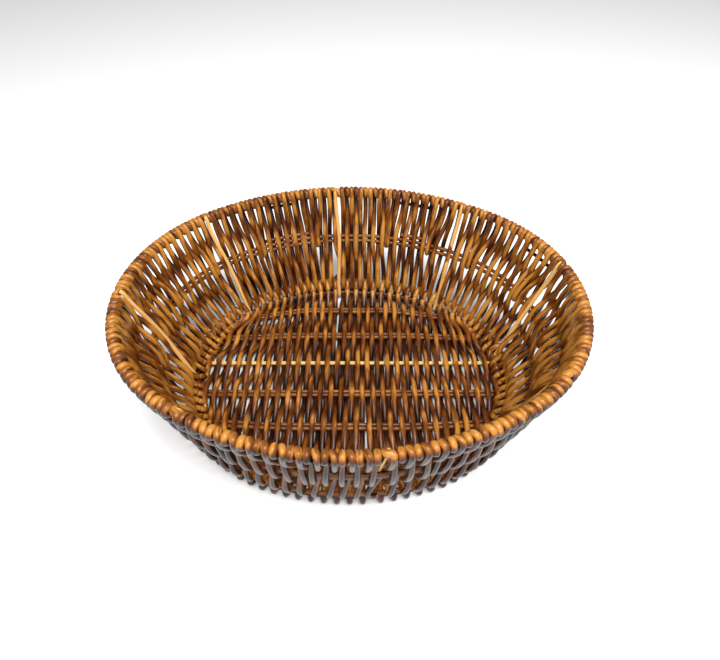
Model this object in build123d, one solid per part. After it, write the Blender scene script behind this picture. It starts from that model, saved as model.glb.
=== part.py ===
from build123d import *
import math
import os

# Oval bread basket, hand woven from round cane over a frame of hoops, rods and ribs.
# Origin: centre of the foot's footprint, on the surface that the basket stands on.
# +X runs along the long axis of the oval, +Z up. All sizes in millimetres.

# Round stock, diameters
CANE = 3.1        # weaving cane of the wall, the floor and the rim binding
CORE_WIRE = 1.8   # stiff wire inside the bound rim
RING_ROD = 3.0    # base ring, the oval that the floor hangs on
HOOP_ROD = 2.7    # lower hoop, the middle pair of hoops and the floor's cross rods
RIB_WIRE = 2.8    # the straight ribs of the frame and the floor's centre wire
TAIL_CANE = 2.4   # tucked ends of the cane under the rim

# Hoops: half length, half width, radius of the end arcs, height of the centreline
RING_Z = CANE + RING_ROD / 2
RIM_SHAPE = (136.0, 111.5, 98.5, 82.0)
MID_SHAPE = (123.5, 102.3, 93.0, 50.0)
LOW_SHAPE = (108.8, 91.4, 87.0, 11.5)
RING_SHAPE = (106.0, 89.0, 85.0, RING_Z)
MID_PITCH = 3.4       # from the lower middle hoop up to the upper one, and on to a splice
MID_WIDENING = 1.2    # of the hoops over that rise, as the wall leans outwards

# Ribs, counted round from the back's middle towards -X. Each starts a bay of the weave.
RIB_NAMES = (
    "back", "back_left", "left", "front_left", "front", "front_right", "right", "back_right"
)
RIBS_AT_RIM = (10.4, 106.8, 195.4, 301.8, 407.8, 515.8, 611.4, 696.4)  # along the rim
RIBS_AT_FOOT = (9.8, 84.1, 157.6, 238.0, 321.8, 407.8, 483.6, 550.3)   # along the base ring
RIB_GAP = 2.8           # extra room that a rib takes between two canes

# Weave: one period is one cane on the inner face of the rim and one on the outer face
RIM_PERIODS = (14, 14, 13, 13, 13, 13, 13, 13)  # by bay
SHORT_CANES = ((2, 9), (1, 8), (3, 9), (2, 8), (3, 9), (2, 8), (2, 10), (2, 7))  # by bay
INNER_PLACE = 0.5       # of a cane on its way up to the rim, in its period
OUTER_PLACE = 1.05      # of the same cane on its way down again, past the next rib or cane
SECOND_TURN = (0.7, 0.86, 0.98, 1.1)  # between them, under the core wire and round it again
CLOSING = 0.3           # how far the next canes move into the gap under a short cane, in periods
CLOSING_REACH = 1.5     # periods over which that movement dies away
TURN_PLACE = (INNER_PLACE + OUTER_PLACE - 1) / 2  # of a short cane's turn, from its number
TURN_WIDTH = 0.2        # of that turn, in periods

# Floor
FLOOR_PAIRS = 30                # periods that cross the floor from back to front
BACK_FIRST = -17                # the first of them at the right of the back, from the back rib
FRONT_FIRST = 29                # and at the left of the front
FLOOR_PITCH = 3.46              # between neighbouring canes across the middle of the floor
ROW_PITCH = 26.9                # between neighbouring rows of cross rods
ROW_ENDS = (9.0, 3.0, 0.0, 0.0, 3.0, 9.0)  # how far each row's ends bend to the middle
CENTRE_ROW = 2                  # this row is a single wire, the others are pairs of rods
ROD_PAIR_PITCH = 3.0            # between the two rods of a row
ROD_CLEARANCE = 3.2             # from the ring's centreline to the end of a rod
FLOOR_WAVE_RADIUS = 30.0        # bend of a cane over or under a row
ROW_SKIP = 9.0                  # a cane misses a row that is nearer than this to its end

# Distances between centrelines of touching pieces
CORE_HUG = (CORE_WIRE + CANE) / 2
ROD_HUG = (HOOP_ROD + CANE) / 2
RING_HUG = (RING_ROD + CANE) / 2

# Foot of the wall: where a wall cane meets its floor cane, from the base ring's centreline
UNDER_INSIDE = -1.5             # of a cane that passes under the ring
OVER_INSIDE = -3.5              # of a cane that goes in over the lower hoop
OVER_LIFT = 6.0                 # height of that one above the ring's centreline
OVER_PLACE = 1.0                # of that one at the foot, in its period
RIB_SIDE = 1.6                  # a rib stands aside for the cane that goes in next to it
LOOP_LOW_REACH = -5.6           # how far in a cane goes that turns back at the floor's ends
LOOP_HIGH_REACH = -6.6          # and on its way up again

# Loose ends
SPLICES = {"left": (-30.0, -62.0), "right": (56.0, 38.0)}  # a third rod at the back, along X
TAILS = ((133.6, 158.0, 8.0), (236.0, 253.5, 8.0), (36.0, 61.0, 11.0))  # round and below the rim
TAIL_OUTSIDE = 2.2              # from the rim core's centreline

# Bend radii of the canes
TIGHT = 1.9
FOOT_BEND = 2.4
SOFT = 40.0
SEAM_TURN = 37.0                # degrees, of the seam along every bar


class Oval:
    """The centreline of a hoop: two end arcs and two side arcs, each tangent to the next."""

    def __init__(self, half_length, half_width, end_radius, height):
        self.half_length = half_length
        self.half_width = half_width
        self.end_radius = end_radius
        self.height = height
        self.reach = half_length - end_radius
        rest = self.reach**2 + half_width**2 - end_radius**2
        self.side_radius = rest / (2 * (half_width - end_radius))
        self.drop = self.side_radius - half_width
        self.turn = math.atan2(self.drop, self.reach)
        self.end_arc = end_radius * self.turn
        self.quarter = self.end_arc + self.side_radius * (math.pi / 2 - self.turn)
        self.length = 4 * self.quarter

    def at(self, distance):
        """Point and direction of the outward normal, at a distance from the +X end."""
        quadrant, rest = divmod(distance % self.length, self.quarter)
        mirrored = quadrant in (1, 3)
        if mirrored:
            rest = self.quarter - rest
        if rest <= self.end_arc:
            normal = rest / self.end_radius
            x = self.reach + self.end_radius * math.cos(normal)
            y = self.end_radius * math.sin(normal)
        else:
            normal = self.turn + (rest - self.end_arc) / self.side_radius
            x = self.side_radius * math.cos(normal)
            y = self.side_radius * math.sin(normal) - self.drop
        if mirrored:
            x, normal = -x, math.pi - normal
        if quadrant >= 2:
            x, y, normal = -x, -y, normal + math.pi
        return x, y, normal

    def half_chord(self, y):
        """Half the oval's length at a distance y from its long axis."""
        if abs(y) <= self.end_radius * math.sin(self.turn):
            return self.reach + math.sqrt(self.end_radius**2 - y**2)
        return math.sqrt(self.side_radius**2 - (abs(y) + self.drop) ** 2)

    def inset(self, depth, drop=0.0):
        """A parallel oval, smaller by a depth all round, and lower by a drop."""
        return Oval(
            self.half_length - depth,
            self.half_width - depth,
            self.end_radius - depth,
            self.height - drop,
        )

    def wire(self):
        turn = math.degrees(self.turn)
        z = self.height
        return Wire(
            [
                CenterArc((self.reach, 0, z), self.end_radius, -turn, 2 * turn),
                CenterArc((0, -self.drop, z), self.side_radius, turn, 180 - 2 * turn),
                CenterArc((-self.reach, 0, z), self.end_radius, 180 - turn, 2 * turn),
                CenterArc((0, self.drop, z), self.side_radius, 180 + turn, 180 - 2 * turn),
            ]
        )

    def back_arc(self, start, stop, offset, lift):
        """A stretch of the back side arc, between two places along X."""
        radius = self.side_radius + offset
        centre = (0, -self.drop, self.height + lift)
        first = math.degrees(math.acos(start / radius))
        last = math.degrees(math.acos(stop / radius))
        return Wire([CenterArc(centre, radius, first, last - first)])


RIM = Oval(*RIM_SHAPE)
MID = Oval(*MID_SHAPE)
LOW = Oval(*LOW_SHAPE)
RING = Oval(*RING_SHAPE)

BAYS = len(RIB_NAMES)
FOOT_PERIODS = [rim - len(short) for rim, short in zip(RIM_PERIODS, SHORT_CANES)]


def rib_at(hoop, bay):
    """Distance round a hoop of the rib that starts a bay."""
    ribs, measured = (RIBS_AT_FOOT, RING) if hoop in (LOW, RING) else (RIBS_AT_RIM, RIM)
    turns, bay = divmod(bay, BAYS)
    return hoop.quarter + (ribs[bay] / measured.length + turns) * hoop.length


def along(hoop, bay, place):
    """Distance round a hoop of a place in a bay, counted in periods from the bay's rib."""
    counts = FOOT_PERIODS if hoop in (LOW, RING) else RIM_PERIODS
    if place >= counts[bay % BAYS]:
        place -= counts[bay % BAYS]
        bay += 1
    start = rib_at(hoop, bay)
    period = (rib_at(hoop, bay + 1) - start - RIB_GAP) / counts[bay % BAYS]
    return start + RIB_GAP / 2 + place * period


def lean_of(bay, rim_place, foot_place):
    """How far the wall leans outwards from the vertical at one cane."""
    top = RIM.at(along(RIM, bay, rim_place))
    foot = LOW.at(along(LOW, bay, foot_place))
    spread = math.hypot(top[0] - foot[0], top[1] - foot[1])
    return math.atan2(spread, RIM.height - LOW.height)


def mid_place(bay, place):
    """A place at the middle hoops, drawn towards the gaps that the short canes leave."""
    moved = place
    for short in SHORT_CANES[bay]:
        away = short + TURN_PLACE - place
        moved += math.copysign(CLOSING * math.exp((0.75 - abs(away)) / CLOSING_REACH), away)
    return moved


def by_hoop(hoop, bay, place, lean, out, up):
    """A point beside a hoop, at a place in a bay, out of the wall and up along it."""
    return beside(hoop, along(hoop, bay, place), lean, out, up)


def beside(hoop, distance, lean, out, up):
    x, y, normal = hoop.at(distance)
    away = out * math.cos(lean) + up * math.sin(lean)
    rise = up * math.cos(lean) - out * math.sin(lean)
    return Vector(
        x + away * math.cos(normal), y + away * math.sin(normal), hoop.height + rise
    )


def fitting_radii(points, wanted):
    """The wanted bend radii, less where the straight runs are too short for them."""
    radii = []
    for before, corner, after, radius in zip(points, points[1:], points[2:], wanted):
        first, second = corner - before, after - corner
        turn = math.radians(first.get_angle(second))
        room = 0.48 * min(first.length, second.length)
        radii.append(min(radius, room / math.tan(turn / 2)))
    return radii


def tube(path, diameter):
    """A round bar. Its seam is turned, so that it doesn't lie in the plane of a bend."""
    section = Plane(origin=path @ 0, z_dir=path % 0).rotated((0, 0, SEAM_TURN))
    return sweep(section * Circle(diameter / 2), path=path).solid()


def bent(points, wanted, diameter):
    """A round bar along straight runs joined by tangent arcs."""
    path = FilletPolyline(*points, radius=fitting_radii(points, wanted))
    return tube(path, diameter)


# ---- Canes of the wall ----


def inner_top(bay, index, lean, mid):
    """From outside the middle hoops, up the rim's inner face, over it and under it."""
    place = index + INNER_PLACE
    points = [
        by_hoop(MID, bay, mid, lean, ROD_HUG, -MID_PITCH),
        by_hoop(MID, bay, mid, lean, ROD_HUG, MID_PITCH),
        by_hoop(RIM, bay, place, lean, -CORE_HUG, -4),
        by_hoop(RIM, bay, place, lean, -CORE_HUG, CORE_HUG),
        by_hoop(RIM, bay, place, lean, CORE_HUG, CORE_HUG),
        by_hoop(RIM, bay, place + 0.05, lean, CORE_HUG, -CORE_HUG),
        by_hoop(RIM, bay, index + SECOND_TURN[0], lean, 0, -CORE_HUG),
    ]
    return points, [SOFT, SOFT, SOFT, TIGHT, TIGHT, TIGHT]


def outer_top(bay, index, lean, mid):
    """From under the rim, up and over it, down its outer face and inside the hoops."""
    under, low, high, over = (index + place for place in SECOND_TURN)
    points = [
        by_hoop(RIM, bay, under, lean, 0, -CORE_HUG),
        by_hoop(RIM, bay, low, lean, -CORE_HUG, -CORE_HUG),
        by_hoop(RIM, bay, high, lean, -CORE_HUG, CORE_HUG),
        by_hoop(RIM, bay, over, lean, CORE_HUG, CORE_HUG),
        by_hoop(RIM, bay, index + OUTER_PLACE, lean, CORE_HUG, -4),
        by_hoop(MID, bay, mid, lean, -ROD_HUG, MID_PITCH),
        by_hoop(MID, bay, mid, lean, -ROD_HUG, -MID_PITCH),
    ]
    return points, [TIGHT, TIGHT, TIGHT, SOFT, SOFT, SOFT]


def joint(bay, foot_index, under):
    """Where a wall cane meets its floor cane, under the base ring or inside the lower hoop."""
    if under:
        return by_hoop(RING, bay, foot_index + INNER_PLACE, 0, UNDER_INSIDE, -RING_HUG)
    return by_hoop(RING, bay, foot_index + OVER_PLACE, 0, OVER_INSIDE, OVER_LIFT)


def inner_cane(bay, index, foot_index):
    """Under the base ring, up inside the lower hoop and outside the middle hoops."""
    foot = foot_index + INNER_PLACE
    lean = lean_of(bay, index + INNER_PLACE, foot)
    top, top_radii = inner_top(bay, index, lean, mid_place(bay, index + INNER_PLACE))
    points = [
        joint(bay, foot_index, True),
        by_hoop(RING, bay, foot, 0, RING_HUG, -RING_HUG),
        by_hoop(RING, bay, foot, 0, RING_HUG, 1),
        by_hoop(LOW, bay, foot, lean, -ROD_HUG, 0),
    ]
    return bent(points + top, [FOOT_BEND, SOFT / 2, SOFT] + top_radii, CANE)


def outer_cane(bay, index, foot_index):
    """Inside the middle hoops, then in over the lower hoop."""
    foot = foot_index + OVER_PLACE
    lean = lean_of(bay, index + OUTER_PLACE, foot)
    top, top_radii = outer_top(bay, index, lean, mid_place(bay, index + OUTER_PLACE))
    points = [
        by_hoop(LOW, bay, foot, lean, ROD_HUG, ROD_HUG),
        by_hoop(LOW, bay, foot, lean, -ROD_HUG / 2, ROD_HUG),
        joint(bay, foot_index, False),
    ]
    return bent(top + points, top_radii + [FOOT_BEND, FOOT_BEND], CANE)


def short_cane(bay, index):
    """Down inside the middle hoops, round under them and up outside to the next period."""
    middle = index + TURN_PLACE
    lean = lean_of(bay, middle, middle)
    inner, outer = middle - TURN_WIDTH / 2, middle + TURN_WIDTH / 2
    down, down_radii = outer_top(bay, index - 1, lean, inner)
    up, up_radii = inner_top(bay, index, lean, outer)
    turn = [
        by_hoop(MID, bay, inner, lean, -ROD_HUG, -MID_PITCH - ROD_HUG),
        by_hoop(MID, bay, outer, lean, ROD_HUG, -MID_PITCH - ROD_HUG),
    ]
    radii = down_radii[:-1] + [FOOT_BEND, FOOT_BEND] + up_radii[1:]
    return bent(down[:-1] + turn + up[1:], radii, CANE)


def bay_canes(bay):
    """The canes of one bay: those on the rim's inner face, its outer face, and short ones."""
    short = SHORT_CANES[bay]
    inner, outer = [], []
    for index in range(RIM_PERIODS[bay]):
        if index not in short:
            inner.append(inner_cane(bay, index, index - sum(s < index for s in short)))
        if index + 1 not in short:
            outer.append(outer_cane(bay, index, index - sum(s - 1 < index for s in short)))
    return inner, outer, [short_cane(bay, index) for index in short]


# ---- Floor ----


def foot_slot(number):
    """Bay and place of a period of the base ring, counted round from the first rib."""
    number %= sum(FOOT_PERIODS)
    for bay, count in enumerate(FOOT_PERIODS):
        if number < count:
            return bay, number
        number -= count


def row_ends(row):
    """Y of a row of cross rods at its middle and at its ends, and where the ends are."""
    middle = (len(ROW_ENDS) / 2 - 0.5 - row) * ROW_PITCH
    end = middle - math.copysign(ROW_ENDS[row], middle)
    return middle, end, RING.inset(ROD_CLEARANCE).half_chord(end)


def row_y(row, x):
    """Y of a row where a cane crosses it."""
    middle, end, half = row_ends(row)
    share = max(0, abs(x) / half - 0.45) / 0.55
    return middle + (end - middle) * min(1, share)


def touching(points, radius):
    """Moves the corners of a wave up or down, until its bends and not they touch the rows."""
    heights = [point.Z for point in points]
    for _ in range(4):
        radii = fitting_radii(points, [radius] * (len(points) - 2))
        for i, bend in enumerate(radii, start=1):
            before = (points[i] - points[i - 1]).normalized()
            after = (points[i + 1] - points[i]).normalized()
            upright = abs((after - before).normalized().Z)
            half_turn = math.radians(before.get_angle(after) / 2)
            rise = max(0, bend * (upright / math.cos(half_turn) - 1))
            height = heights[i] + math.copysign(rise, heights[i] - RING_Z)
            points[i] = Vector(points[i].X, points[i].Y, height)
    return points


def floor_cane(rank, low_at_back):
    """One cane across the floor, from under the base ring to over the lower hoop or back."""
    start = joint(*foot_slot(BACK_FIRST + rank), low_at_back)
    finish = joint(*foot_slot(FRONT_FIRST + FLOOR_PAIRS - 1 - rank), not low_at_back)
    middle_x = (FLOOR_PAIRS - 2 * rank - (0.5 if low_at_back else 1.5)) * FLOOR_PITCH
    bow = middle_x - (start.X + finish.X) / 2
    points = [start]
    for row in range(len(ROW_ENDS)):
        y = row_y(row, middle_x)
        if not finish.Y + ROW_SKIP < y < start.Y - ROW_SKIP:
            continue
        share = (start.Y - y) / (start.Y - finish.Y)
        x = start.X + (finish.X - start.X) * share + bow * 4 * share * (1 - share)
        over = (row % 2 == 0) == low_at_back
        points.append(Vector(x, y, RING_Z + (RING_HUG if over else -RING_HUG)))
    points.append(finish)
    points = touching(points, FLOOR_WAVE_RADIUS)
    return bent(points, [FLOOR_WAVE_RADIUS] * (len(points) - 2), CANE)


def end_loop(number):
    """A cane that doesn't cross the floor: it turns inside the base ring and goes back up."""
    bay, index = foot_slot(number)
    points = [
        joint(bay, index, True),
        by_hoop(RING, bay, index + INNER_PLACE + 0.05, 0, LOOP_LOW_REACH, -RING_HUG),
        by_hoop(RING, bay, index + OVER_PLACE - 0.05, 0, LOOP_HIGH_REACH, RING_HUG),
        joint(bay, index, False),
    ]
    return bent(points, [FOOT_BEND, FOOT_BEND], CANE)


def cross_rod(row, shift, diameter):
    """A floor rod from one end of the base ring to the other, its ends bent inwards."""
    middle, end, half = row_ends(row)
    knee = 0.45 * half
    if end == middle:
        path = Line((-half, middle + shift, RING_Z), (half, middle + shift, RING_Z))
        return tube(path, diameter)
    points = [
        Vector(-half, end + shift, RING_Z),
        Vector(-knee, middle + shift, RING_Z),
        Vector(knee, middle + shift, RING_Z),
        Vector(half, end + shift, RING_Z),
    ]
    return bent(points, [80, 80], diameter)


# ---- Frame ----


def rib(bay):
    """A straight rib on the inside of the wall, its top under the rim's binding."""
    lean = lean_of(bay, 0, 0)
    rod_side = -(HOOP_ROD + RIB_WIRE) / 2
    core_side = -(CORE_WIRE + RIB_WIRE) / 2
    points = [
        beside(RING, rib_at(RING, bay) - RIB_SIDE, 0, -(RING_ROD + RIB_WIRE) / 2, -1),
        beside(LOW, rib_at(LOW, bay) - RIB_SIDE, lean, rod_side, 0),
        beside(MID, rib_at(MID, bay) - RIB_SIDE, lean, rod_side, -MID_PITCH / 2),
        beside(RIM, rib_at(RIM, bay), lean, core_side, -4),
        beside(RIM, rib_at(RIM, bay), lean, core_side, 0),
    ]
    return bent(points, [SOFT] * 3, RIB_WIRE)


def splice(side):
    """A third length of rod over the middle hoops, where a hoop's two ends overlap."""
    start, stop = SPLICES[side]
    path = MID.back_arc(start, stop, MID_WIDENING, MID_PITCH)
    return tube(path, HOOP_ROD)


def tail(start, stop, depth):
    """A cane's end, tucked along the wall behind the canes, just under the rim."""
    steps = 3
    run = (stop - start) / steps
    points = [beside(RIM, start + run * i, 0, TAIL_OUTSIDE, -depth) for i in range(steps + 1)]
    return bent(points, [SOFT] * (steps - 1), TAIL_CANE)


def write(node, solids):
    export_step(Compound(children=list(solids)), f"parts/{node}.step")


def write_frame():
    write("rim_core_hoop", [tube(RIM.wire(), CORE_WIRE)])
    write("middle_hoop_upper", [tube(MID.wire(), HOOP_ROD)])
    write("middle_hoop_lower", [tube(MID.inset(MID_WIDENING, MID_PITCH).wire(), HOOP_ROD)])
    write("lower_hoop", [tube(LOW.wire(), HOOP_ROD)])
    write("base_ring", [tube(RING.wire(), RING_ROD)])
    for side in SPLICES:
        write(f"middle_hoop_splice_{side}", [splice(side)])
    for bay, name in enumerate(RIB_NAMES):
        write(f"frame_rib_{name}", [rib(bay)])


def write_walls():
    short = []
    for bay in range(BAYS):
        inner, outer, turned = bay_canes(bay)
        write(f"wall_canes_inner_bay_{bay + 1}", inner)
        write(f"wall_canes_outer_bay_{bay + 1}", outer)
        short += turned
    write("short_wall_canes", short)
    write("tucked_cane_tails", [tail(*place) for place in TAILS])


def write_floor():
    for row in range(len(ROW_ENDS)):
        if row == CENTRE_ROW:
            write("floor_centre_wire", [cross_rod(row, 0, RIB_WIRE)])
            continue
        for name, shift in (("back", ROD_PAIR_PITCH / 2), ("front", -ROD_PAIR_PITCH / 2)):
            write(f"floor_rod_{row + 1}_{name}", [cross_rod(row, shift, HOOP_ROD)])
    ranks = range(FLOOR_PAIRS)
    write("floor_canes_low_at_back", [floor_cane(rank, True) for rank in ranks])
    write("floor_canes_high_at_back", [floor_cane(rank, False) for rank in ranks])
    left = range(BACK_FIRST + FLOOR_PAIRS, FRONT_FIRST)
    right = range(FRONT_FIRST + FLOOR_PAIRS, BACK_FIRST + sum(FOOT_PERIODS))
    write("end_loops_left", [end_loop(number) for number in left])
    write("end_loops_right", [end_loop(number) for number in right])


os.makedirs("parts", exist_ok=True)
write_frame()
write_walls()
write_floor()
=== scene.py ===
import math
import random

import bpy
import numpy as np
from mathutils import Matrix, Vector


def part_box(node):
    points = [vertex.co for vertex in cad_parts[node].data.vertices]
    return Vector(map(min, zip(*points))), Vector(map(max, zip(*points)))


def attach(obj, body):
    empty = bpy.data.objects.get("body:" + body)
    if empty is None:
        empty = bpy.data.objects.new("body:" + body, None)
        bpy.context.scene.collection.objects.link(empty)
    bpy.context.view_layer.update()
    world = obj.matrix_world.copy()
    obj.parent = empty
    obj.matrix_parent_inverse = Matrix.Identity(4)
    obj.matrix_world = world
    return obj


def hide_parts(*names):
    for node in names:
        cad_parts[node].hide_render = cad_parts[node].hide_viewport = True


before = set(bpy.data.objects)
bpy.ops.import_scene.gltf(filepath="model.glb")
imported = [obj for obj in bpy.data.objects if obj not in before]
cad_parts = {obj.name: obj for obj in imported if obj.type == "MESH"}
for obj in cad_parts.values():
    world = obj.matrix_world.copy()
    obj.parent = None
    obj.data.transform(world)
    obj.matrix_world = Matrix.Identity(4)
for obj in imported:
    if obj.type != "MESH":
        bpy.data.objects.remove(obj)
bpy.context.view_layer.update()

# Oval bread basket, woven from round cane over hoops, rods and ribs. Lengths here are in
# millimetres and become metres in make_piece. The hoops' places come from the frame.
MM = 0.001

# Round stock, diameters
CANE = 3.1
CORE_WIRE = 1.8
RING_ROD = 3.0
HOOP_ROD = 2.7
RIB_WIRE = 2.8
TAIL_CANE = 2.4

# Distances between the centrelines of touching pieces
CORE_HUG = (CORE_WIRE + CANE) / 2
ROD_HUG = (HOOP_ROD + CANE) / 2
RING_HUG = (RING_ROD + CANE) / 2

# Radius of each hoop's two end arcs
RIM_END = 98.5
MID_END = 93.0
LOW_END = 87.0
RING_END = 85.0

# Ribs, counted round from the back's middle towards -X. Their places are distances round
# from there, on the rim's core and on the base ring.
RIB_NAMES = (
    "back", "back_left", "left", "front_left", "front", "front_right", "right", "back_right"
)
RIBS_AT_RIM = (10.4, 106.8, 195.4, 301.8, 407.8, 515.8, 611.4, 696.4)
RIBS_AT_FOOT = (9.8, 84.1, 157.6, 238.0, 321.8, 407.8, 483.6, 550.3)
RIB_GAP = 2.8           # left free of canes at each rib
RIB_SIDE = 1.6          # the ribs stand this far aside of their places, below the rim
RIB_FOOT_DROP = 1.0     # of a rib's foot, below the base ring's middle
RIB_TOP = (175, 150, 130)  # degrees round the rim's core, from its outside up

# Weave: a period is one cane on the rim's inner face and one on its outer face. Places are
# counted in periods.
RIM_PERIODS = (14, 14, 13, 13, 13, 13, 13, 13)
SHORT_CANES = ((2, 9), (1, 8), (3, 9), (2, 8), (3, 9), (2, 8), (2, 10), (2, 7))
INNER_PLACE = 0.5
OUTER_PLACE = 1.05
CLOSING = 0.3           # how far the canes beside a short cane's gap lean into it
CLOSING_START = 0.75    # distance from the gap's middle where that is all of CLOSING
CLOSING_REACH = 1.5     # and the distance over which it fades
TURN_PLACE = (INNER_PLACE + OUTER_PLACE - 1) / 2
TURN_WIDTH = 0.2
DIAGONAL = 0.7          # share of the distance from a hoop's centre, halfway round it
MID_PITCH = 3.4         # between the two middle hoops
MID_WIDENING = 1.2      # inset of the lower one

# Binding of the rim
BINDING_START = 5.0     # below the core, where canes leave the wall for the binding
BINDING_SLACK = 0.15    # between the core and a cane there
BINDING_ANGLES = range(165, 0, -25)  # degrees round the core over its top, inside to outside
LOWEST_ANGLES = (-15, -45, -90, -135, -165)  # and back under it
LOWEST = 2              # the place in LOWEST_ANGLES of the lowest point
LOWEST_PLACES = (0.51, 0.57, 0.7, 0.79, 0.86)
SECOND_PLACES = (0.90, 0.94, 0.98, 1.03, 1.07, 1.1, 1.1)  # over the top again

# Foot of the wall, where the wall canes go on into the floor. Inside is negative.
UNDER_INSIDE = -1.5     # an inner cane's joint, under the base ring
OVER_INSIDE = -3.5      # an outer cane's joint, inside the lower hoop
OVER_LIFT = 6.0         # and its height over the base ring
OVER_PLACE = 1.0
OVER_HOOP = ((0.9, 2.1), (0.62, 1.05), (-0.3, 1.0))  # out and up from the lower hoop, in hugs
UNDER_RING = 0.72       # out and down from the base ring, in hugs
RING_RISE = 0.6         # up from the base ring's middle, on its outside
LOOP_LOW_REACH = -5.6   # depth of the end loops inside the base ring, at their lower end
LOOP_HIGH_REACH = -6.6  # and at their upper end
LOOP_LOW_EASE = 1.4     # what the loop's points next to its turn fall short of that depth
LOOP_HIGH_EASE = 0.6
LOOP_TURN = 0.6         # what the turn itself reaches beyond their mean
LOOP_DROP = 0.85        # of the point before the turn, in hugs
LOOP_CLOSING = 0.05     # of those points towards each other, in periods

# Floor: rows of rods from end to end, counted from the back
FLOOR_PAIRS = 30        # canes across, in each of the two ways to weave
BACK_FIRST = -17        # first foot period of the crossing canes, counted from the back rib
FRONT_FIRST = 29        # the same at the front
FLOOR_PITCH = 3.46
ROW_PITCH = 26.9
ROW_ENDS = (9.0, 3.0, 0.0, 0.0, 3.0, 9.0)  # how far each row's ends bend to the middle
ROW_STRAIGHT = 0.45     # share of a row, from its middle, before it bends
CENTRE_ROW = 2          # the row that is one wire, not a pair of rods
ROD_PAIR_PITCH = 3.0
ROD_CLEARANCE = 3.2     # between a row's end and the base ring's centreline
ROD_STEPS = 5           # from a row's middle to its end
ROW_SKIP = 9.0          # a cane passes no row nearer than this to its joints

# Extra lengths over the middle hoops at the back, from and to along X
SPLICES = {"left": (-30.0, -62.0), "right": (56.0, 38.0)}
# Cut ends under the rim: from and to round the core from its +X end, and how far below it
TAILS = ((133.6, 158.0, 8.0), (236.0, 253.5, 8.0), (36.0, 61.0, 11.0))
TAIL_OUTSIDE = 2.2      # of the core

# Look of the weave
STEP = 1.3              # between cross sections along a cane
SIDES = 14              # of a cane's cross section
HOOP_STEPS = 240        # round a closed hoop
FLOOR_SWELL = 1.15      # the floor's canes and their bends at the foot look fuller than CANE
WALL_SWELL = 1.1
SWELL_CHANGE = (2.0, 16.0)  # heights over the lower hoop between which one becomes the other
RIM_REACH = 4.05        # from the core's centre to the outside of the binding
BEAD_SHARE = 0.262      # radius of a flattened turn round the rim, as a share of its period
BEAD_FADE = 7           # points along a cane over which its turn's radius becomes its own
JITTER = 0.035          # sideways unevenness of the weave, in periods
RIM_JITTER = 0.03       # the same for the turns round the rim
CLOSENESS = 0.12        # unevenness across the wall
CREST = 1.6             # half the run of a floor cane over or under a row of rods
HOOP_TONE = 0.4         # of all closed hoops, from dark at 0 to pale at 1
WOUND_CANE = 9000       # length of cane from which each piece's pattern is taken at random
RNG = random.Random(17)

# How much of the cane stands out, from 0 to 1, makes it paler and how deep it dips makes it
# darker: painted highlight and painted shade, partly standing for rubbed wear on the crests
PAINTED_LIGHT_AND_WEAR_MIDDLE = 0.5       # at the hoops' centrelines
PAINTED_LIGHT_AND_WEAR_DEPTH = 7          # across the weave from none to all
PAINTED_LIGHT_AND_WEAR_FLOOR_RISE = 2.0   # of the floor's middle level, over the base ring's
PAINTED_LIGHT_AND_WEAR_WALL_START = 4     # above the lower hoop
PAINTED_LIGHT_AND_WEAR_RIM_RISE = 3       # from the rim's core to where it is all


class Oval:
    """A hoop's centreline: two end arcs and two side arcs, each tangent to the next."""

    def __init__(self, half_length, half_width, end_radius, height):
        self.half_length = half_length
        self.half_width = half_width
        self.end_radius = end_radius
        self.height = height
        self.reach = half_length - end_radius
        rest = self.reach**2 + half_width**2 - end_radius**2
        self.side_radius = rest / (2 * (half_width - end_radius))
        self.drop = self.side_radius - half_width
        self.turn = math.atan2(self.drop, self.reach)
        self.end_arc = end_radius * self.turn
        self.quarter = self.end_arc + self.side_radius * (math.pi / 2 - self.turn)
        self.length = 4 * self.quarter

    def at(self, distance):
        """x, y and the outward direction, at a distance round from the +X end."""
        quadrant, rest = divmod(distance % self.length, self.quarter)
        mirrored = quadrant in (1, 3)
        if mirrored:
            rest = self.quarter - rest
        if rest <= self.end_arc:
            normal = rest / self.end_radius
            x = self.reach + self.end_radius * math.cos(normal)
            y = self.end_radius * math.sin(normal)
        else:
            normal = self.turn + (rest - self.end_arc) / self.side_radius
            x = self.side_radius * math.cos(normal)
            y = self.side_radius * math.sin(normal) - self.drop
        if mirrored:
            x, normal = -x, math.pi - normal
        if quadrant >= 2:
            x, y, normal = -x, -y, normal + math.pi
        return x, y, normal

    def half_chord(self, y):
        """Half the oval's length along X at a given y."""
        if abs(y) <= self.end_radius * math.sin(self.turn):
            return self.reach + math.sqrt(self.end_radius**2 - y**2)
        return math.sqrt(self.side_radius**2 - (abs(y) + self.drop) ** 2)

    def inset(self, depth, drop=0.0):
        """An oval inside this one, all round by the same depth."""
        return Oval(
            self.half_length - depth,
            self.half_width - depth,
            self.end_radius - depth,
            self.height - drop,
        )


def hoop_of(node, diameter, end_radius):
    """The centreline oval of a hoop in the frame."""
    low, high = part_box(node)
    size = (high - low) / MM
    height = (low.z + high.z) / 2 / MM
    return Oval((size.x - diameter) / 2, (size.y - diameter) / 2, end_radius, height)


RIM = hoop_of("rim_core_hoop", CORE_WIRE, RIM_END)
MID = hoop_of("middle_hoop_upper", HOOP_ROD, MID_END)
LOW = hoop_of("lower_hoop", HOOP_ROD, LOW_END)
RING = hoop_of("base_ring", RING_ROD, RING_END)
BAYS = len(RIB_NAMES)
FOOT_PERIODS = [rim - len(short) for rim, short in zip(RIM_PERIODS, SHORT_CANES)]


def rib_at(hoop, bay):
    """Distance round a hoop of the rib that starts a bay."""
    ribs, measured = (RIBS_AT_FOOT, RING) if hoop in (LOW, RING) else (RIBS_AT_RIM, RIM)
    turns, bay = divmod(bay, BAYS)
    return hoop.quarter + (ribs[bay] / measured.length + turns) * hoop.length


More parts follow.
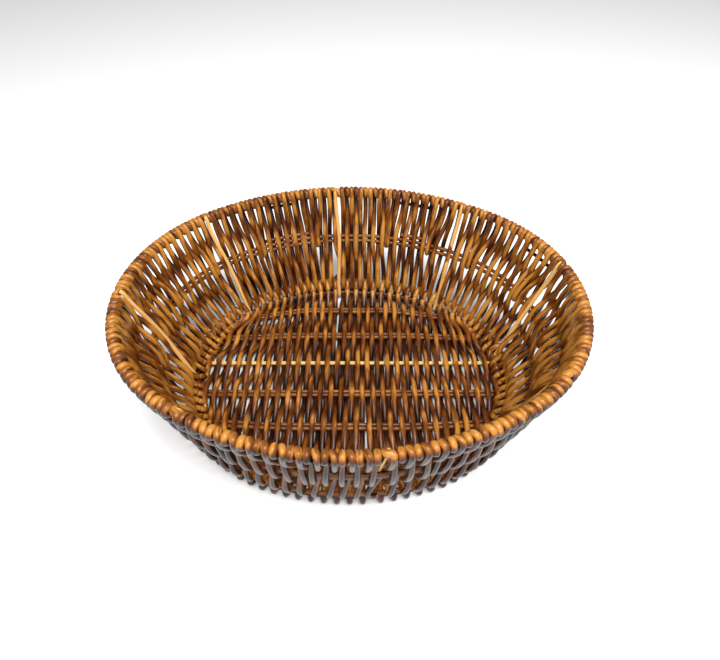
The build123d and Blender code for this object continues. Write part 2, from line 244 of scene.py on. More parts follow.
def along(hoop, bay, place):
    """Distance round a hoop of a place in a bay, counted in periods from the bay's rib."""
    counts = FOOT_PERIODS if hoop in (LOW, RING) else RIM_PERIODS
    if place >= counts[bay % BAYS]:
        place -= counts[bay % BAYS]
        bay += 1
    start = rib_at(hoop, bay)
    period = (rib_at(hoop, bay + 1) - start - RIB_GAP) / counts[bay % BAYS]
    return start + RIB_GAP / 2 + place * period


def uneven(size):
    return RNG.uniform(-size, size)


def own_pattern():
    """A place along the wound cane and a tone, at random for each piece of cane."""
    return RNG.uniform(0, WOUND_CANE), RNG.random()


def lean_of(bay, rim_place, foot_place):
    """The wall's angle from upright, between a place at the rim and one at the foot."""
    top = RIM.at(along(RIM, bay, rim_place))
    foot = LOW.at(along(LOW, bay, foot_place))
    spread = math.hypot(top[0] - foot[0], top[1] - foot[1])
    return math.atan2(spread, RIM.height - LOW.height)


def mid_place(bay, place):
    """A long cane's place at the middle hoops, closer to the gaps of the short canes."""
    moved = place
    for short in SHORT_CANES[bay]:
        away = short + TURN_PLACE - place
        share = math.exp((CLOSING_START - abs(away)) / CLOSING_REACH)
        moved += math.copysign(CLOSING * share, away)
    return moved


def by_hoop(hoop, bay, place, lean, out, up):
    """A point beside a hoop, at a place in a bay, out of the wall and up along it."""
    return beside(hoop, along(hoop, bay, place), lean, out, up)


def beside(hoop, distance, lean, out, up):
    """The same, at a distance round the hoop."""
    x, y, normal = hoop.at(distance)
    away = out * math.cos(lean) + up * math.sin(lean)
    rise = up * math.cos(lean) - out * math.sin(lean)
    return np.array(
        (x + away * math.cos(normal), y + away * math.sin(normal), hoop.height + rise)
    )


# ---- Smooth paths and tubes ----


def smooth(points, guided):
    """A smooth curve through points, above the table, and each point's index in it.

    Guided ends only steer the curve, and aren't part of it.
    """
    p = np.array(points, float)
    chord = np.linalg.norm(np.diff(p, axis=0), axis=1)
    slope = np.diff(p, axis=0) / chord[:, None]
    inner = (slope[1:] * chord[:-1, None] + slope[:-1] * chord[1:, None]) / (
        chord[1:] + chord[:-1]
    )[:, None]
    tangent = np.vstack([slope[:1], inner, slope[-1:]])
    first = 1 if guided[0] else 0
    last = len(p) - 1 - (1 if guided[1] else 0)
    out, marks = [], []
    for i in range(first, last):
        count = max(2, math.ceil(chord[i] / STEP))
        t = (np.arange(count) / count)[:, None]
        marks.append(sum(len(o) for o in out))
        out.append(
            (2 * t**3 - 3 * t**2 + 1) * p[i]
            + (t**3 - 2 * t**2 + t) * chord[i] * tangent[i]
            + (3 * t**2 - 2 * t**3) * p[i + 1]
            + (t**3 - t**2) * chord[i] * tangent[i + 1]
        )
    marks.append(sum(len(o) for o in out))
    out.append(p[last : last + 1])
    path = np.vstack(out)
    path[:, 2] = np.maximum(path[:, 2], FLOOR_SWELL * CANE / 2)
    return path, marks


def turned_frames(path):
    """Two directions across the path at each point, carried along it without twist."""
    tangent = np.gradient(path, axis=0)
    tangent /= np.linalg.norm(tangent, axis=1)[:, None]
    side = np.cross(tangent[0], (0.0, 0.0, 1.0))
    if np.linalg.norm(side) < 0.1:
        side = np.cross(tangent[0], (1.0, 0.0, 0.0))
    across = np.empty_like(path)
    for i, t in enumerate(tangent):
        side = side - t * side.dot(t)
        side /= np.linalg.norm(side)
        across[i] = side
    return across, np.cross(tangent, across)


class Tubes:
    """Gathers round bars into one mesh, with a place in straightened cane for each point."""

    def __init__(self):
        self.points, self.faces, self.cane, self.tone = [], [], [], []
        self.count = 0

    def add(self, path, across, radius, start, tone):
        """One bar. The radius is one number, or one for each point of the path."""
        ring = np.arange(SIDES) * 2 * math.pi / SIDES
        radius = np.broadcast_to(radius, len(path))[:, None]
        cos, sin = np.cos(ring)[None, :] * radius, np.sin(ring)[None, :] * radius
        body = (
            path[:, None, :]
            + cos[:, :, None] * across[0][:, None, :]
            + sin[:, :, None] * across[1][:, None, :]
        )
        run = np.concatenate([[0], np.cumsum(np.linalg.norm(np.diff(path, axis=0), axis=1))])
        where = np.stack([cos, sin, np.broadcast_to((run + start)[:, None], cos.shape)], 2)
        rows = len(path)
        i, j = np.meshgrid(np.arange(rows - 1), np.arange(SIDES), indexing="ij")
        a = self.count + i * SIDES + j
        b = self.count + i * SIDES + (j + 1) % SIDES
        quads = np.stack([a, a + SIDES, b + SIDES, b], 2).reshape(-1, 4)
        self.faces += quads.tolist()
        self.faces.append([self.count + k for k in range(SIDES)])
        self.faces.append([self.count + (rows - 1) * SIDES + k for k in reversed(range(SIDES))])
        self.points.append(body.reshape(-1, 3))
        self.cane.append(where.reshape(-1, 3))
        self.tone.append(np.full(rows * SIDES, tone))
        self.count += rows * SIDES

    def bar(self, points, diameter, guided=(False, False)):
        """One smooth bar through points, with a pattern of its own."""
        path, _ = smooth(points, guided)
        self.add(path, turned_frames(path), diameter / 2, *own_pattern())


def painted_light_and_wear_of(points):
    """How much each point stands out to the basket's inside or over its rim, from 0 to 1:
    painted highlight where it stands out and painted shade where it dips, partly standing for
    wear.
    """
    x, y, z = abs(points[:, 0]), abs(points[:, 1]), points[:, 2]
    heights = [hoop.height for hoop in (LOW, MID, RIM)]

    def at_height(name):
        return np.interp(z, heights, [getattr(hoop, name) for hoop in (LOW, MID, RIM)])

    on_end = np.arctan2(y, x - at_height("reach")) < at_height("turn")
    from_end = np.hypot(x - at_height("reach"), y) - at_height("end_radius")
    from_side = np.hypot(x, y + at_height("drop")) - at_height("side_radius")
    on_wall = -np.where(on_end, from_end, from_side)
    # Painted highlight on the floor canes' crests over the rods and painted shade in their dips
    # under them, partly wear; the rise sets the whole floor darker, painted shade.
    on_floor = z - RING.height - PAINTED_LIGHT_AND_WEAR_FLOOR_RISE
    # On the wall, painted highlight where a cane passes inside the hoops and painted shade
    # where it passes behind them, partly wear.
    inwards = np.where(z > LOW.height + PAINTED_LIGHT_AND_WEAR_WALL_START, on_wall, on_floor)
    painted_light_and_wear = np.clip(PAINTED_LIGHT_AND_WEAR_MIDDLE + inwards / PAINTED_LIGHT_AND_WEAR_DEPTH, 0, 1)
    # Painted shade: below the lower hoop the outside of the wall is set darkest, standing for
    # the shadow at the foot.
    painted_light_and_wear = np.where((z < LOW.height) & (on_wall < 0), 0, painted_light_and_wear)
    # Painted highlight, partly wear: the binding grows paler up over the rim's core.
    return np.maximum(painted_light_and_wear, np.clip((z - RIM.height) / PAINTED_LIGHT_AND_WEAR_RIM_RISE, 0, 1))


def make_piece(name, tubes, material, slot, *nodes):
    """One Blender object on the basket's body, in place of its CAD nodes."""
    mesh = bpy.data.meshes.new(name)
    mesh.from_pydata((np.vstack(tubes.points) * MM).tolist(), [], tubes.faces)
    mesh.polygons.foreach_set("use_smooth", [len(f) == 4 for f in tubes.faces])
    place = mesh.attributes.new("cane", "FLOAT_VECTOR", "POINT")
    place.data.foreach_set("vector", np.vstack(tubes.cane).astype(np.float32).ravel())
    # Painted highlight and painted shade, partly standing for wear, stored on each point for
    # the cane materials.
    painted_light_and_wear = mesh.attributes.new("painted_light_and_wear", "FLOAT", "POINT")
    painted_light_and_wear.data.foreach_set("value", painted_light_and_wear_of(np.vstack(tubes.points)).astype(np.float32))
    tone = mesh.attributes.new("tone", "FLOAT", "POINT")
    tone.data.foreach_set("value", np.concatenate(tubes.tone).astype(np.float32))
    mesh.materials.append(material)
    mesh.update()
    piece = bpy.data.objects.new(name, mesh)
    bpy.context.scene.collection.objects.link(piece)
    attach(piece, "root")
    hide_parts(*nodes)


# ---- Materials ----

# Noise sizes are cycles per millimetre of cane, or per metre for regions of the basket
PATCH_NOISE = (0.25, 0.075, 2.0)     # round the cane, along it, detail
GRAIN_NOISE = (3.2, 0.07, 3.0)
REGION_NOISE = (45.0, 45.0, 1.0)
REGION_SHARE = 0.3      # of the regions' weight to the patches'
TONE_SHARE = 0.16
GRAIN_TINTS = [(0.3, (0.66, 0.6, 0.55)), (0.6, (1.0, 1.0, 1.0)), (0.8, (1.1, 1.1, 1.1))]
GRAIN_SHINE = 0.18      # how much smoother the grain's paler threads are
GRAIN_RELIEF = 0.25
GRAIN_HEIGHT = 0.0002   # metres
SPECULAR = 0.22
COAT_ROUGHNESS = 0.2


def node(tree, kind, **values):
    made = tree.nodes.new(kind)
    for key, value in values.items():
        setattr(made, key, value)
    return made


def ramp(tree, stops):
    """A colour ramp with stops of a position and a colour."""
    made = tree.nodes.new("ShaderNodeValToRGB")
    elements = made.color_ramp.elements
    while len(elements) < len(stops):
        elements.new(0.5)
    for element, (position, colour) in zip(elements, stops):
        element.position = position
        element.color = (*colour, 1)
    return made


def stretched_noise(tree, place, around, lengthwise, detail):
    """Noise in straightened cane, with one size round the cane and another along it."""
    scaled = node(tree, "ShaderNodeVectorMath", operation="MULTIPLY")
    scaled.inputs[1].default_value = (around, around, lengthwise)
    noise = tree.nodes.new("ShaderNodeTexNoise")
    noise.inputs["Scale"].default_value = 1.0
    noise.inputs["Detail"].default_value = detail
    tree.links.new(place, scaled.inputs[0])
    tree.links.new(scaled.outputs[0], noise.inputs["Vector"])
    return noise.outputs["Fac"]


def maths(tree, operation, a, b):
    """A sum or the like of two inputs, each a number or another node's output."""
    made = node(tree, "ShaderNodeMath", operation=operation)
    for socket, value in zip(made.inputs, (a, b)):
        if isinstance(value, (int, float)):
            socket.default_value = value
        else:
            tree.links.new(value, socket)
    return made.outputs[0]


def add_up(tree, *terms):
    """The sum of outputs, each with its weight."""
    total = None
    for value, weight in terms:
        term = maths(tree, "MULTIPLY", value, weight)
        total = term if total is None else maths(tree, "ADD", total, term)
    return total


def cane_material(name, stops, patchiness, painted_light_and_wear_share, roughness, coat):
    """Dyed cane: patches of colour along it, paler where it stands out and darker where it
    dips, painted highlight and painted shade partly standing for wear, and a satin skin.
    """
    material = bpy.data.materials.new(name)
    material.use_nodes = True
    tree = material.node_tree
    shader = tree.nodes["Principled BSDF"]
    place = node(tree, "ShaderNodeAttribute", attribute_name="cane").outputs["Vector"]
    tone = node(tree, "ShaderNodeAttribute", attribute_name="tone").outputs["Fac"]
    painted_light_and_wear = node(tree, "ShaderNodeAttribute", attribute_name="painted_light_and_wear").outputs["Fac"]
    where = tree.nodes.new("ShaderNodeTexCoord").outputs["Object"]
    patches = stretched_noise(tree, place, *PATCH_NOISE)
    region = stretched_noise(tree, where, *REGION_NOISE)
    # The painted highlight and shade, partly wear, lifts or lowers the colour's level together
    # with the patches, regions and tone.
    level = add_up(
        tree,
        (patches, patchiness),
        (region, patchiness * REGION_SHARE),
        (tone, TONE_SHARE),
        (painted_light_and_wear, painted_light_and_wear_share),
    )
    centre = 0.5 * (patchiness * (1 + REGION_SHARE) + TONE_SHARE + painted_light_and_wear_share)
    level = maths(tree, "ADD", level, 0.5 - centre)
    colour = ramp(tree, stops)
    tree.links.new(level, colour.inputs["Fac"])
    grain = stretched_noise(tree, place, *GRAIN_NOISE)
    darken = ramp(tree, GRAIN_TINTS)
    tree.links.new(grain, darken.inputs["Fac"])
    mix = node(tree, "ShaderNodeMix", data_type="RGBA", blend_type="MULTIPLY")
    mix.inputs["Factor"].default_value = 1.0
    tree.links.new(colour.outputs["Color"], mix.inputs["A"])
    tree.links.new(darken.outputs["Color"], mix.inputs["B"])
    tree.links.new(mix.outputs["Result"], shader.inputs["Base Color"])
    rough = maths(tree, "MULTIPLY_ADD", grain, -GRAIN_SHINE)
    rough.node.inputs[2].default_value = roughness + GRAIN_SHINE / 2
    tree.links.new(rough, shader.inputs["Roughness"])
    shader.inputs["Specular IOR Level"].default_value = SPECULAR
    shader.inputs["Coat Weight"].default_value = coat
    shader.inputs["Coat Roughness"].default_value = COAT_ROUGHNESS
    bump = tree.nodes.new("ShaderNodeBump")
    bump.inputs["Strength"].default_value = GRAIN_RELIEF
    bump.inputs["Distance"].default_value = GRAIN_HEIGHT
    tree.links.new(grain, bump.inputs["Height"])
    tree.links.new(bump.outputs["Normal"], shader.inputs["Normal"])
    return material


DARK = (0.010, 0.0025, 0.0010)
BROWN = (0.042, 0.0100, 0.0020)
RUST = (0.110, 0.0290, 0.0035)
AMBER = (0.225, 0.0720, 0.0080)
GOLD = (0.450, 0.1900, 0.0300)
TAN = (0.780, 0.4400, 0.1400)

CANE_LOOK = cane_material(
    "dyed_cane",
    [(0.0, DARK), (0.32, BROWN), (0.55, RUST), (0.8, AMBER), (1.0, GOLD)],
    patchiness=1.8, painted_light_and_wear_share=0.75, roughness=0.3, coat=0.16,
)
ROD_LOOK = cane_material(
    "dyed_rod",
    [(0.0, BROWN), (0.4, RUST), (0.7, AMBER), (1.0, GOLD)],
    patchiness=1.3, painted_light_and_wear_share=0.2, roughness=0.33, coat=0.1,
)
RIB_LOOK = cane_material(
    "tan_wire",
    [(0.0, GOLD), (0.5, TAN), (1.0, TAN)],
    patchiness=0.6, painted_light_and_wear_share=0.0, roughness=0.36, coat=0.1,
)
CORE_LOOK = cane_material(
    "core_wire",
    [(0.2, DARK), (0.8, BROWN)],
    patchiness=0.5, painted_light_and_wear_share=0.0, roughness=0.45, coat=0.0,
)


# ---- Floor canes ----


def foot_slot(number):
    """A foot period's bay and its index there, from its number round from the back rib."""
    number %= sum(FOOT_PERIODS)
    for bay, count in enumerate(FOOT_PERIODS):
        if number < count:
            return bay, number
        number -= count


def row_ends(row):
    """A row's y in its middle and at its ends, and half its length."""
    middle = (len(ROW_ENDS) / 2 - 0.5 - row) * ROW_PITCH
    end = middle - math.copysign(ROW_ENDS[row], middle)
    return middle, end, RING.inset(ROD_CLEARANCE).half_chord(end)


def row_y(row, x):
    middle, end, half = row_ends(row)
    share = max(0, abs(x) / half - ROW_STRAIGHT) / (1 - ROW_STRAIGHT)
    return middle + (end - middle) * min(1, share)


def joint(slot, under):
    """Where a wall cane goes on as a floor cane, under the base ring or inside the hoop."""
    bay, index = slot
    if under:
        return by_hoop(RING, bay, index + INNER_PLACE, 0, UNDER_INSIDE, -RING_HUG)
    return by_hoop(RING, bay, index + OVER_PLACE, 0, OVER_INSIDE, OVER_LIFT)


def beyond_joint(slot, under):
    """The wall cane's next point up the wall from its joint."""
    bay, index = slot
    if under:
        bend = UNDER_RING * RING_HUG
        return by_hoop(RING, bay, index + INNER_PLACE, 0, bend, -bend)
    out, up = OVER_HOOP[2]
    return by_hoop(LOW, bay, index + OVER_PLACE, 0, out * ROD_HUG, up * ROD_HUG)


def floor_route(rank, low_at_back):
    """A cane's points across the floor, and its wall slots at the back and at the front."""
    back = foot_slot(BACK_FIRST + rank)
    front = foot_slot(FRONT_FIRST + FLOOR_PAIRS - 1 - rank)
    start, finish = joint(back, low_at_back), joint(front, not low_at_back)
    middle_x = (FLOOR_PAIRS - 2 * rank - (0.5 if low_at_back else 1.5)) * FLOOR_PITCH
    bow = middle_x - (start[0] + finish[0]) / 2
    points = [start]
    for row in range(len(ROW_ENDS)):
        y = row_y(row, middle_x)
        if not finish[1] + ROW_SKIP < y < start[1] - ROW_SKIP:
            continue
        share = (start[1] - y) / (start[1] - finish[1])
        x = start[0] + (finish[0] - start[0]) * share + bow * 4 * share * (1 - share)
        over = (row % 2 == 0) == low_at_back
        x += uneven(2 * JITTER * FLOOR_PITCH)
        lift = RING_HUG if over else -RING_HUG
        points += [np.array((x, y + away, RING.height + lift)) for away in (CREST, -CREST)]
    points.append(finish)
    return points, back, front


def loop_route(slot):
    """A cane that doesn't cross the floor turns inside the base ring and goes back up."""
    bay, index = slot
    low, high = index + INNER_PLACE, index + OVER_PLACE
    low_reach = LOOP_LOW_REACH + LOOP_LOW_EASE
    high_reach = LOOP_HIGH_REACH + LOOP_HIGH_EASE
    turn_reach = (LOOP_LOW_REACH + LOOP_HIGH_REACH) / 2 - LOOP_TURN
    return [
        joint(slot, True),
        by_hoop(RING, bay, low + LOOP_CLOSING, 0, low_reach, -LOOP_DROP * RING_HUG),
        by_hoop(RING, bay, (low + high) / 2, 0, turn_reach, 0),
        by_hoop(RING, bay, high - LOOP_CLOSING, 0, high_reach, RING_HUG),
        joint(slot, False),
    ]


NEXT_ON_FLOOR = {}  # the floor point that follows each wall cane's foot


def add_floor():
    for node_name, low_at_back in (
        ("floor_canes_low_at_back", True),
        ("floor_canes_high_at_back", False),
    ):
        tubes = Tubes()
        for rank in range(FLOOR_PAIRS):
            points, back, front = floor_route(rank, low_at_back)
            NEXT_ON_FLOOR[(back, low_at_back)] = points[1]
            NEXT_ON_FLOOR[(front, not low_at_back)] = points[-2]
            ends = beyond_joint(back, low_at_back), beyond_joint(front, not low_at_back)
            tubes.bar([ends[0], *points, ends[1]], FLOOR_SWELL * CANE, (True, True))
        make_piece(f"woven_{node_name}", tubes, CANE_LOOK, "weaving_cane", node_name)


def add_end_loops():
    for side_name, first, stop in (
        ("left", BACK_FIRST + FLOOR_PAIRS, FRONT_FIRST),
        ("right", FRONT_FIRST + FLOOR_PAIRS, BACK_FIRST + sum(FOOT_PERIODS)),
    ):
        tubes = Tubes()
        for number in range(first, stop):
            slot = foot_slot(number)
            points = loop_route(slot)
            NEXT_ON_FLOOR[(slot, True)] = points[1]
            NEXT_ON_FLOOR[(slot, False)] = points[-2]
            guided = [beyond_joint(slot, True), *points, beyond_joint(slot, False)]
            tubes.bar(guided, FLOOR_SWELL * CANE, (True, True))
        node_name = f"end_loops_{side_name}"
        make_piece(f"end_canes_{side_name}", tubes, CANE_LOOK, "weaving_cane", node_name)


# ---- Wall canes ----


def leave_wall(bay, place, lean, sign):
    """The point where a wall cane leaves the wall for the binding. sign 1 is outside."""
    out = sign * (CORE_HUG + BINDING_SLACK)
    return by_hoop(RIM, bay, place, lean, out, -BINDING_START)


def inner_leg(bay, index):
    """From the base ring up the wall to the rim's inner face, outside the middle hoops."""
    short = SHORT_CANES[bay]
    foot_index = index - sum(s < index for s in short)
    place, foot = index + INNER_PLACE, foot_index + INNER_PLACE
    lean = lean_of(bay, place, foot)
    mid = mid_place(bay, place) + uneven(JITTER)
    slot = (bay, foot_index)
    return lean, [
        NEXT_ON_FLOOR[(slot, True)],
        joint(slot, True),
        beyond_joint(slot, True),
        by_hoop(RING, bay, foot, 0, RING_HUG, RING_RISE),
        by_hoop(LOW, bay, foot + uneven(JITTER), lean, -ROD_HUG, 0),
        by_hoop(MID, bay, mid, lean, ROD_HUG + uneven(CLOSENESS), -MID_PITCH),
        by_hoop(MID, bay, mid, lean, ROD_HUG + uneven(CLOSENESS), 0),
        leave_wall(bay, place + uneven(JITTER), lean, -1),
    ]


def outer_leg(bay, index):
    """From the rim's outer face down inside the middle hoops and in over the lower hoop."""
    short = SHORT_CANES[bay]
    foot_index = index - sum(s - 1 < index for s in short)
    place, foot = index + OUTER_PLACE, foot_index + OVER_PLACE
    lean = lean_of(bay, place, foot)
    mid = mid_place(bay, place) + uneven(JITTER)
    slot = (bay, foot_index)
    (high_out, high_up), (side_out, side_up), _ = OVER_HOOP
    return lean, [
        leave_wall(bay, place + uneven(JITTER), lean, 1),
        by_hoop(MID, bay, mid, lean, -ROD_HUG + uneven(CLOSENESS), 0),
        by_hoop(MID, bay, mid, lean, -ROD_HUG + uneven(CLOSENESS), -MID_PITCH),
        by_hoop(
            LOW, bay, foot + uneven(JITTER), lean, high_out * ROD_HUG, high_up * ROD_HUG
        ),
        by_hoop(LOW, bay, foot, lean, side_out * ROD_HUG, side_up * ROD_HUG),
        beyond_joint(slot, False),
        joint(slot, False),
        NEXT_ON_FLOOR[(slot, False)],
    ]


def short_half(bay, short, rising):
    """Half of a short cane: from its turn under the middle hoops, up to the rim."""
    middle = short + TURN_PLACE
    lean = lean_of(bay, middle, middle)
    sign = 1 if rising else -1
    own, other = middle + sign * TURN_WIDTH / 2, middle - sign * TURN_WIDTH / 2
    place = short + (INNER_PLACE if rising else OUTER_PLACE - 1)
    out = sign * ROD_HUG
    diagonal = DIAGONAL * ROD_HUG
    half = [
        by_hoop(MID, bay, other, lean, -sign * diagonal, -MID_PITCH - diagonal),
        by_hoop(MID, bay, middle, lean, 0, -MID_PITCH - ROD_HUG),
        by_hoop(MID, bay, own, lean, sign * diagonal, -MID_PITCH - diagonal),
        by_hoop(MID, bay, own, lean, out, -MID_PITCH),
        by_hoop(MID, bay, own, lean, out, 0),
        leave_wall(bay, place, lean, -sign),
    ]
    return lean, half if rising else half[::-1]


def bead_radius(bay):
    """Radius of a turn round the rim, flattened by its neighbours."""
    return BEAD_SHARE * (along(RIM, bay, 1) - along(RIM, bay, 0))


def windings(bay, index, lean_in, lean_out):
    """Both turns of a cane round the rim's core, and the number of the lowest point."""
    first = [(angle, INNER_PLACE) for angle in BINDING_ANGLES]
    below = zip(LOWEST_ANGLES, LOWEST_PLACES)
    second = zip(BINDING_ANGLES, SECOND_PLACES)
    lowest = len(first) + LOWEST
    shift = uneven(RIM_JITTER)
    hug = RIM_REACH - bead_radius(bay)
    points = []
    for step, (angle, place) in enumerate([*first, *below, *second]):
        lean = lean_in if step < lowest else lean_out
        out, up = hug * math.cos(math.radians(angle)), hug * math.sin(math.radians(angle))
        points.append(by_hoop(RIM, bay, index + place + shift, lean, out, up))
    return points, lowest


def rim_cane(bay, index):
    """One period: up the inner face, twice round the core and down the outer face.

    It is cut under the core, where its rising half and its falling half meet.
    """
    short = SHORT_CANES[bay]
    from_turn, to_turn = index in short, index + 1 in short
    lean_in, up = short_half(bay, index, True) if from_turn else inner_leg(bay, index)
    lean_out, down = short_half(bay, index + 1, False) if to_turn else outer_leg(bay, index)
    wound, lowest = windings(bay, index, lean_in, lean_out)
    points = up + wound + down
    path, marks = smooth(points, (True, True))
    cut = marks[len(up) + lowest - 1]
    frames = turned_frames(path)
    on_rim = np.zeros(len(path))
    on_rim[marks[len(up) - 1] : marks[len(up) + len(wound) - 2]] = 1
    soft = np.convolve(on_rim, np.ones(BEAD_FADE) / BEAD_FADE, mode="same")
    above_foot = [LOW.height + rise for rise in SWELL_CHANGE]
    radius = CANE / 2 * np.interp(path[:, 2], above_foot, (FLOOR_SWELL, WALL_SWELL))
    radius += (bead_radius(bay) - radius) * soft
    return path, frames, radius, cut, from_turn, to_turn


def add_walls():
    short_tubes = Tubes()
    for bay in range(BAYS):
        inner, outer = Tubes(), Tubes()
        for index in range(RIM_PERIODS[bay]):
            path, frames, radius, cut, from_turn, to_turn = rim_cane(bay, index)
            start, tone = own_pattern()
            run = np.linalg.norm(np.diff(path[: cut + 1], axis=0), axis=1).sum()
            for tubes, part, begin in (
                (short_tubes if from_turn else inner, slice(0, cut + 1), start),
                (short_tubes if to_turn else outer, slice(cut, len(path)), start + run),
            ):
                across = [frame_part[part] for frame_part in frames]
                tubes.add(path[part], across, radius[part], begin, tone)
        for side, tubes in (("inner", inner), ("outer", outer)):
            replaced = f"wall_canes_{side}_bay_{bay + 1}"
            make_piece(
                f"{side}_canes_bay_{bay + 1}", tubes, CANE_LOOK, "weaving_cane", replaced
            )
    make_piece("short_canes", short_tubes, CANE_LOOK, "weaving_cane", "short_wall_canes")


# ---- Frame ----


def closed_hoop(oval, diameter):
    """A hoop as one bar whose two ends meet."""
    points = []
    for step in range(HOOP_STEPS + 1):
        x, y, _ = oval.at(oval.length * step / HOOP_STEPS)
        points.append((x, y, oval.height))
    path = np.array(points)
    tubes = Tubes()
    tubes.add(path, turned_frames(path), diameter / 2, 0, HOOP_TONE)
    return tubes


def add_hoops():
    lower_mid = MID.inset(MID_WIDENING, MID_PITCH)
    for name, oval, diameter, look, slot, replaced in (
        ("core_of_rim", RIM, CORE_WIRE, CORE_LOOK, "rim_core", "rim_core_hoop"),
        ("mid_hoop_upper", MID, HOOP_ROD, ROD_LOOK, "hoop_rod", "middle_hoop_upper"),
        ("mid_hoop_lower", lower_mid, HOOP_ROD, ROD_LOOK, "hoop_rod", "middle_hoop_lower"),
        ("hoop_above_floor", LOW, HOOP_ROD, ROD_LOOK, "hoop_rod", "lower_hoop"),
        ("ring_under_floor", RING, RING_ROD, ROD_LOOK, "hoop_rod", "base_ring"),
    ):
        make_piece(name, closed_hoop(oval, diameter), look, slot, replaced)


def rib_points(bay):
    """From inside the base ring up to the top of the rim's inner face, under the binding."""
    lean = lean_of(bay, 0, 0)
    ring_side = -(RING_ROD + RIB_WIRE) / 2
    rod_side = -(HOOP_ROD + RIB_WIRE) / 2
    core_side = (CORE_WIRE + RIB_WIRE) / 2
    points = [
        beside(RING, rib_at(RING, bay) - RIB_SIDE, 0, ring_side, -RIB_FOOT_DROP),
        beside(LOW, rib_at(LOW, bay) - RIB_SIDE, lean, rod_side, 0),
        beside(MID, rib_at(MID, bay) - RIB_SIDE, lean, rod_side, -MID_PITCH / 2),
        beside(RIM, rib_at(RIM, bay), lean, -core_side, -BINDING_START),
    ]
    for angle in RIB_TOP:
        out = core_side * math.cos(math.radians(angle))
        up = core_side * math.sin(math.radians(angle))
        points.append(beside(RIM, rib_at(RIM, bay), lean, out, up))
    return points


def add_ribs():
    for bay, name in enumerate(RIB_NAMES):
        tubes = Tubes()
        tubes.bar(rib_points(bay), RIB_WIRE)
        make_piece(f"rib_{name}", tubes, RIB_LOOK, "rib_wire", f"frame_rib_{name}")


def rod_points(row, shift):
    """Along a row of the floor, shifted to one side of it."""
    _, _, half = row_ends(row)
    points = []
    for step in range(-ROD_STEPS, ROD_STEPS + 1):
        x = step / ROD_STEPS * half
        points.append(np.array((x, row_y(row, x) + shift, RING.height)))
    return points


def add_floor_rods():
    for row in range(len(ROW_ENDS)):
        if row == CENTRE_ROW:
            tubes = Tubes()
            tubes.bar(rod_points(row, 0), RIB_WIRE)
            make_piece("centre_wire", tubes, RIB_LOOK, "rib_wire", "floor_centre_wire")
            continue
        for name, shift in (("back", ROD_PAIR_PITCH / 2), ("front", -ROD_PAIR_PITCH / 2)):
            tubes = Tubes()
            tubes.bar(rod_points(row, shift), HOOP_ROD)
            label = f"{row + 1}_{name}"
            make_piece(f"rod_{label}", tubes, ROD_LOOK, "hoop_rod", f"floor_rod_{label}")


def splice_points(start, stop, steps=6):
    """Points along the back of the middle hoops, between two places along X."""
    radius = MID.side_radius + MID_WIDENING
    points = []
    for i in range(steps + 1):
        x = start + (stop - start) * i / steps
        points.append(
            np.array((x, math.sqrt(radius**2 - x**2) - MID.drop, MID.height + MID_PITCH))
        )
    return points


def tail_points(start, stop, depth, steps=4):
    """Points below the rim's core and just outside it, between two distances round it."""
    run = (stop - start) / steps
    return [beside(RIM, start + run * i, 0, TAIL_OUTSIDE, -depth) for i in range(steps + 1)]


def add_splices():
    for side, (start, stop) in SPLICES.items():
        tubes = Tubes()
        tubes.bar(splice_points(start, stop), HOOP_ROD)
        replaced = f"middle_hoop_splice_{side}"
        make_piece(f"splice_{side}", tubes, ROD_LOOK, "hoop_rod", replaced)
    tubes = Tubes()
    for place in TAILS:
        tubes.bar(tail_points(*place), TAIL_CANE)
    make_piece("cane_tails", tubes, CANE_LOOK, "weaving_cane", "tucked_cane_tails")


# ---- Studio, in metres ----

FLOOR_REACH = 6.0
FLOOR_GREY = 0.9
FLOOR_ROUGHNESS = 0.8
FLOOR_SPECULAR = 0.2
WORLD_STRENGTH = 0.4
LAMP_TARGET = (0, 0, 0.05)

# The camera looks at a point over the middle of the floor. Its lengths are in millimetres.
LOOK_HEIGHT = 51.5
DISTANCE = 355.5
ELEVATION = math.radians(45.4)
FOCAL_LENGTH = 28.25
SENSOR_WIDTH = 36.0
SHIFT_X = 0.0146        # the basket stands a little left of the picture's middle
CLIP_START = 0.01       # metres


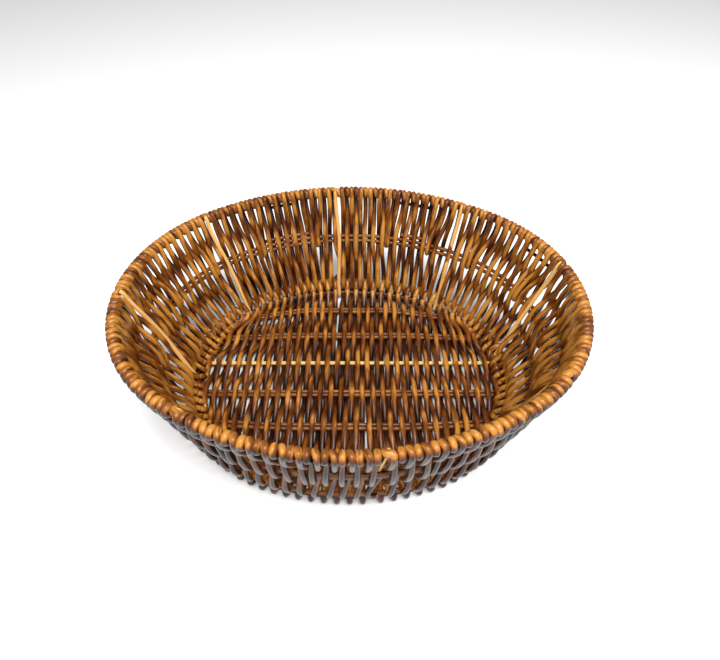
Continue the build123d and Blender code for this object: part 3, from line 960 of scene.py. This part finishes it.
def add_floor_plane():
    mesh = bpy.data.meshes.new("studio_floor")
    reach = FLOOR_REACH
    corners = [(-reach, -reach, 0), (reach, -reach, 0), (reach, reach, 0), (-reach, reach, 0)]
    mesh.from_pydata(corners, [], [(0, 1, 2, 3)])
    material = bpy.data.materials.new("pale_floor")
    material.use_nodes = True
    shader = material.node_tree.nodes["Principled BSDF"]
    shader.inputs["Base Color"].default_value = (FLOOR_GREY, FLOOR_GREY, FLOOR_GREY, 1)
    shader.inputs["Roughness"].default_value = FLOOR_ROUGHNESS
    shader.inputs["Specular IOR Level"].default_value = FLOOR_SPECULAR
    mesh.materials.append(material)
    floor = bpy.data.objects.new("studio_floor", mesh)
    bpy.context.scene.collection.objects.link(floor)


def add_light(name, place, size, power):
    """A rectangular lamp that points at the basket."""
    light = bpy.data.lights.new(name, "AREA")
    light.shape = "RECTANGLE"
    light.size, light.size_y = size
    light.energy = power
    lamp = bpy.data.objects.new(name, light)
    lamp.location = place
    direction = Vector(LAMP_TARGET) - Vector(place)
    lamp.rotation_euler = direction.to_track_quat("-Z", "Y").to_euler()
    bpy.context.scene.collection.objects.link(lamp)


def add_world():
    world = bpy.data.worlds.new("studio")
    bpy.context.scene.world = world
    world.use_nodes = True
    background = world.node_tree.nodes["Background"]
    background.inputs["Color"].default_value = (1, 1, 1, 1)
    background.inputs["Strength"].default_value = WORLD_STRENGTH


def add_camera():
    data = bpy.data.cameras.new("camera")
    data.lens = FOCAL_LENGTH
    data.sensor_width = SENSOR_WIDTH
    data.shift_x = SHIFT_X
    data.clip_start = CLIP_START
    camera = bpy.data.objects.new("camera", data)
    away = DISTANCE * math.cos(ELEVATION) * MM
    height = (LOOK_HEIGHT + DISTANCE * math.sin(ELEVATION)) * MM
    camera.location = (0, -away, height)
    camera.rotation_euler = (math.pi / 2 - ELEVATION, 0, 0)
    bpy.context.scene.collection.objects.link(camera)
    bpy.context.scene.camera = camera


add_floor()
add_end_loops()
add_walls()
add_hoops()
add_ribs()
add_floor_rods()
add_splices()
add_floor_plane()
add_world()
add_light("overhead", place=(0.12, -0.4, 1.1), size=(0.9, 0.6), power=25)
add_light("front", place=(0.15, -1.1, 0.42), size=(1.0, 0.3), power=2.5)
add_camera()
bpy.context.scene.view_settings.view_transform = "Standard"
